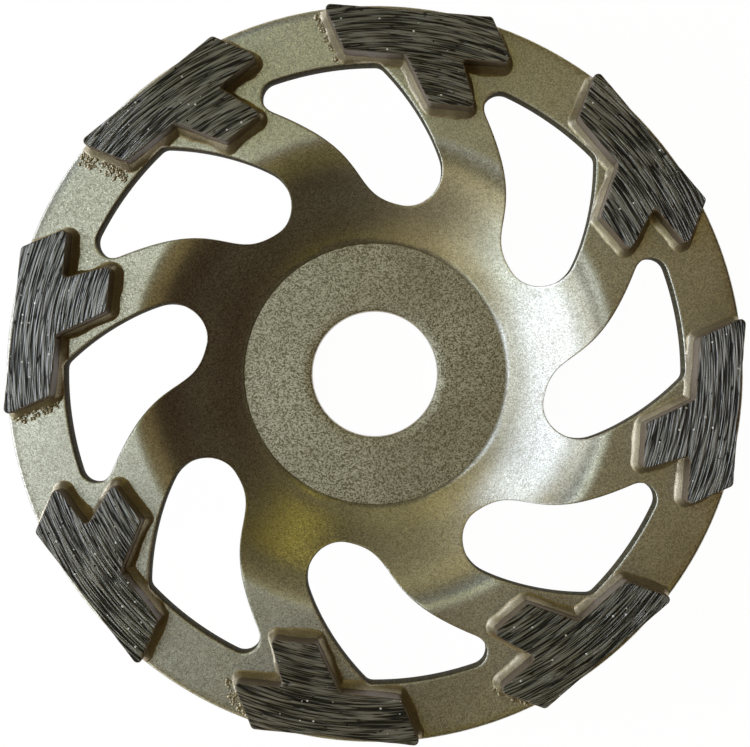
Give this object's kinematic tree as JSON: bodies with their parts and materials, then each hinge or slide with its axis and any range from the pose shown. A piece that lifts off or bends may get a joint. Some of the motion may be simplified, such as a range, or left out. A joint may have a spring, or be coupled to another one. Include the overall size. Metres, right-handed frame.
{
  "type": "diamond cup wheel",
  "caption": "Steel cup wheel with a recessed hub, an S-shaped dish with curved windows, and T-shaped diamond segments brazed round its flat ring, for grinding concrete.",
  "frame": {"origin": "centre of the hub's back face, on the wheel's axis, at the lowest plane of the wheel", "axes": "+Z is the wheel's axis and points from the hub to the diamond segments; +X points at the first segment's sector"},
  "size_m": [0.125, 0.125, 0.0244],
  "materials": {
    "cup_paint": "bronze metallic paint, satin, fine grain",
    "diamond_segment": "sintered metal with diamond grit, ground round the wheel",
    "braze_fillet": "braze filler under thin bronze paint, lumpy"
  },
  "bodies": {
    "root": {"cup_body": "cup_paint", "segment_1": "diamond_segment", "segment_2": "diamond_segment", "segment_3": "diamond_segment", "segment_4": "diamond_segment", "segment_5": "diamond_segment", "segment_6": "diamond_segment", "segment_7": "diamond_segment", "segment_8": "diamond_segment", "braze_1": "braze_fillet", "braze_2": "braze_fillet", "braze_3": "braze_fillet", "braze_4": "braze_fillet", "braze_5": "braze_fillet", "braze_6": "braze_fillet", "braze_7": "braze_fillet", "braze_8": "braze_fillet"}
  },
  "joints": []
}
